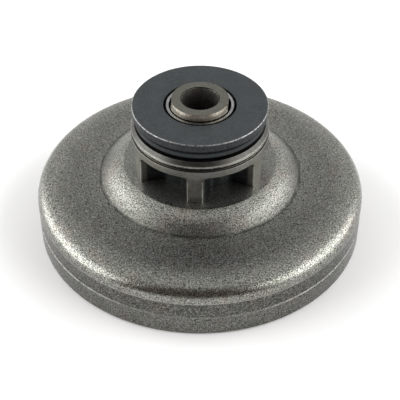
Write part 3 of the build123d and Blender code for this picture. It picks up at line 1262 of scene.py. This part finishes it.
@dataclass
class NeedleBearing:
    """Inner sleeve, pocketed cage and rollers of the drum's bearing, in millimetres."""

    sleeve_chamfer: float = 0.3
    shaft_chamfer: float = 0.15
    sleeve_edge: float = 0.38
    edge_length: float = 0.8
    flat_depth: float = 0.45
    flat_length: float = 4.0
    cage_thickness: float = 0.6
    pocket_clearance: float = 0.1
    roller_edge: float = 0.15
    roller_segments: int = 32
    sleeve_segments: int = 192
    bar_steps: int = 6
    cage_finish: GroundSteel = GroundSteel(
        "cage_steel", steel=(0.380, 0.384, 0.382), stain=(0.300, 0.300, 0.294),
        roughness=Mottle(Grain(1600.0), Span(0.30, 0.70, 0.24, 0.38)),
    )
    roller_finish: GroundSteel = GroundSteel(
        "roller_steel", steel=(0.600, 0.600, 0.590), stain=(0.480, 0.470, 0.450),
        roughness=Mottle(Grain(1600.0), Span(0.30, 0.70, 0.12, 0.22)),
        grinding=Grain(5200.0, lay=Lay.AXIAL),
    )

    def rollers(self) -> list[str]:
        """Names of the roller solids."""
        return sorted(name for name in frame["nodes"] if name.startswith("needle_roller"))

    def build_sleeve(self) -> None:
        """Make the sleeve and dress it."""
        radius, low, high = reach("inner_sleeve")
        bore = bore_radius("shaft_bore")
        cut, broken = self.sleeve_chamfer, self.shaft_chamfer
        flat, floor = radius - self.flat_depth, high - self.flat_length
        outline = [
            (bore, high - broken),
            (bore, low + broken),
            (bore + broken, low),
            (radius - cut, low),
            (radius, low + cut),
            (radius, floor),
        ]
        edge = self.sleeve_edge
        angles = set(even_angles(self.sleeve_segments))
        for reached in (radius, radius - edge):
            corner = math.acos(flat / reached)
            angles |= {corner, math.pi - corner, math.pi + corner, 2 * math.pi - corner}
        stations = sorted(angles)
        rings = [ring(r, z, stations) for r, z in outline]
        for r, z in ((radius, floor), (radius, high - self.edge_length), (radius - edge, high)):
            points: list[Vector] = []
            for angle in stations:
                towards_flat = abs(math.cos(angle))
                across = flat / towards_flat if r * towards_flat > flat else r
                points += ring(across, z, [angle])
            rings.append(points)
        rings.append(ring(bore + broken, high, stations))
        sleeve = skin("sleeve_race", rings)
        dress(sleeve, "inner_sleeve", "sleeve", SleeveSteel(high, bore).material())

    def build_cage(self) -> None:
        """Make the cage, with one open pocket for each roller, and dress it."""
        outer, low, high = reach("bearing_cage")
        inner = outer - self.cage_thickness
        names = self.rollers()
        first_low, first_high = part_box(names[0])
        roller = (first_high[1] - first_low[1]) / MM / 2
        gap = self.pocket_clearance
        half_pocket = math.asin((roller + gap) / (inner + self.cage_thickness / 2))
        levels = [low, first_low[2] / MM - gap, first_high[2] / MM + gap, high]
        pocket_row = 1
        pitch = 2 * math.pi / len(names)
        angles: list[float] = []
        pocket: list[bool] = []
        for index in range(len(names)):
            angles += [index * pitch - half_pocket, index * pitch]
            pocket += [True, True]
            for step in range(self.bar_steps):
                share = step / self.bar_steps
                angles.append(index * pitch + half_pocket + (pitch - 2 * half_pocket) * share)
                pocket.append(False)
        shape = bmesh.new()
        walls = [
            [[shape.verts.new(p) for p in ring(r, z, angles)] for z in levels] for r in (inner, outer)
        ]
        count = len(angles)

        def solid(column: int, row: int) -> bool:
            """Whether one cell of the cage is metal."""
            return 0 <= row < len(levels) - 1 and not (row == pocket_row and pocket[column % count])

        for column in range(count):
            after = (column + 1) % count
            for row in range(len(levels) - 1):
                if not solid(column, row):
                    continue
                for wall in walls:
                    low_edge = [wall[row][column], wall[row][after]]
                    shape.faces.new(low_edge + [wall[row + 1][after], wall[row + 1][column]])
                sides = [
                    (solid(column, row - 1), (row, column), (row, after)),
                    (solid(column, row + 1), (row + 1, column), (row + 1, after)),
                    (solid(column - 1, row), (row, column), (row + 1, column)),
                    (solid(column + 1, row), (row, after), (row + 1, after)),
                ]
                for beside, (r0, c0), (r1, c1) in sides:
                    if not beside:
                        inside = [walls[0][r0][c0], walls[0][r1][c1]]
                        shape.faces.new(inside + [walls[1][r1][c1], walls[1][r0][c0]])
        cage = add_piece("cage_ring", shape)
        dress(cage, "bearing_cage", "cage", self.cage_finish.material())

    def build_rollers(self) -> None:
        """Make every roller in its pocket and dress it."""
        material = self.roller_finish.material()
        angles = even_angles(self.roller_segments)
        for name in self.rollers():
            low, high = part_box(name)
            middle = Vector(((low[0] + high[0]) / 2, (low[1] + high[1]) / 2, 0.0))
            radius = (high[1] - low[1]) / MM / 2
            edge = self.roller_edge
            outline = rounded([
                (radius - edge, low[2] / MM, 0.0), (radius, low[2] / MM, edge),
                (radius, high[2] / MM, edge), (radius - edge, high[2] / MM, 0.0),
            ], closed=False)
            rings = [[point + middle for point in ring(r, z, angles)] for r, z in outline]
            roller = skin(name.replace("needle_roller", "needle"), rings, closed=False)
            dress(roller, name, name.replace("needle_", ""), material)

    def build(self) -> None:
        """Make the whole bearing."""
        self.build_sleeve()
        self.build_cage()
        self.build_rollers()


@dataclass(frozen=True)
class Softbox:
    """Rectangular soft light that faces a point on the axis, in metres and degrees."""

    name: str
    azimuth: float
    elevation: float
    brightness: float
    width: float = 3.20
    depth: float = 1.92
    distance: float = 2.4
    target: float = 0.015

    def build(self) -> None:
        """Add the light; its azimuth counts from straight behind the part towards the right."""
        light = bpy.data.lights.new(self.name, "AREA")
        light.shape = "RECTANGLE"
        light.size = self.width
        light.size_y = self.depth
        light.energy = self.brightness * math.pi * self.width * self.depth
        lamp = bpy.data.objects.new(self.name, light)
        side, rise = math.radians(self.azimuth), math.radians(self.elevation)
        out = Vector((math.sin(side) * math.cos(rise), math.cos(side) * math.cos(rise), math.sin(rise)))
        lamp.location = out * self.distance + Vector((0.0, 0.0, self.target))
        lamp.rotation_euler = out.to_track_quat("Z", "Y").to_euler()
        bpy.context.scene.collection.objects.link(lamp)


@dataclass(frozen=True)
class DarkPatch:
    """Round part of the room that is darker than the rest, with its angles in degrees."""

    towards: Direction
    inner_angle: float
    outer_angle: float
    colour: Colour


@dataclass
class Studio:
    """Pale table, two softboxes, a room with two dim patches, and the camera of the photograph.

    Lengths are in metres and angles in degrees, and the sensor is in millimetres.
    """

    camera_reach: float = 0.186419
    camera_height: float = 0.168274
    camera_turn: float = 4.1
    camera_pitch: float = 41.196
    focal_pixels: float = 1007.4
    frame_pixels: float = 400.0
    sensor: float = 36.0
    near_clip: float = 0.01
    table_size: float = 3.0
    table_drop: float = 0.00004
    room: Colour = (0.92, 0.92, 0.92)
    behind_camera: DarkPatch = DarkPatch((0.0, -0.91, 0.42), 41.4, 69.5, (0.172, 0.144, 0.134))
    over_backdrop: DarkPatch = DarkPatch((-0.03, 0.60, 0.80), 8.0, 15.0, (0.100, 0.110, 0.130))
    left: Softbox = Softbox("left_softbox", azimuth=-91.0, elevation=25.0, brightness=3.5)
    right: Softbox = Softbox("right_softbox", azimuth=91.0, elevation=29.0, brightness=3.3)

    def build_camera(self) -> None:
        """Stand the camera where the photograph was taken from."""
        turn = math.radians(self.camera_turn)
        lens = bpy.data.cameras.new("camera")
        lens.sensor_width = self.sensor
        lens.lens = self.sensor * self.focal_pixels / self.frame_pixels
        lens.clip_start = self.near_clip
        camera = bpy.data.objects.new("camera", lens)
        side, back = self.camera_reach * math.sin(turn), self.camera_reach * math.cos(turn)
        camera.location = (side, -back, self.camera_height)
        camera.rotation_euler = (math.pi / 2 - math.radians(self.camera_pitch), 0.0, turn)
        bpy.context.scene.collection.objects.link(camera)
        bpy.context.scene.camera = camera

    def build_table(self) -> None:
        """Lay the pale table top under the rim."""
        half = self.table_size / 2
        mesh = bpy.data.meshes.new("table")
        corners = [(-half, -half, 0), (half, -half, 0), (half, half, 0), (-half, half, 0)]
        mesh.from_pydata(corners, [], [(0, 1, 2, 3)])
        table = bpy.data.objects.new("table", mesh)
        table.location.z = -self.table_drop
        bpy.context.scene.collection.objects.link(table)
        mesh.materials.append(PaleTop().material())

    def build_room(self) -> None:
        """Fill the room with even light, darker behind the camera and in a gap above the backdrop."""
        world = bpy.data.worlds.new("room")
        world.use_nodes = True
        bpy.context.scene.world = world
        board = NodeBoard(world.node_tree)
        nodes = board.tree.nodes
        sky = nodes.new("ShaderNodeBackground")
        output = nodes.new("ShaderNodeOutputWorld")
        board.feed(output.inputs["Surface"], sky.outputs["Background"])
        place = nodes.new("ShaderNodeTexCoord").outputs["Generated"]
        paint: Tint = self.room
        for patch in (self.behind_camera, self.over_backdrop):
            facing = nodes.new("ShaderNodeVectorMath")
            facing.operation = "DOT_PRODUCT"
            facing.inputs[1].default_value = Vector(patch.towards).normalized()
            board.feed(facing.inputs[0], place)
            outer = math.cos(math.radians(patch.outer_angle))
            inner = math.cos(math.radians(patch.inner_angle))
            share = board.ramp(facing.outputs["Value"], Span(outer, inner))
            paint = board.mix(share, paint, patch.colour)
        board.feed(sky.inputs["Color"], paint)

    def build(self) -> None:
        """Set up the whole studio."""
        self.build_camera()
        self.build_table()
        self.build_room()
        self.left.build()
        self.right.build()
        bpy.context.scene.view_settings.view_transform = "Standard"


def main() -> None:
    """Build every part of the scene."""
    logging.basicConfig(level=logging.INFO, format="%(name)s: %(message)s")
    DrumCup().build()
    SpurSprocket().build()
    Washer("lower_washer", rubbed=False).build()
    Washer("upper_washer", rubbed=True).build()
    NeedleBearing().build()
    Studio().build()


if __name__ == "__main__":
    main()
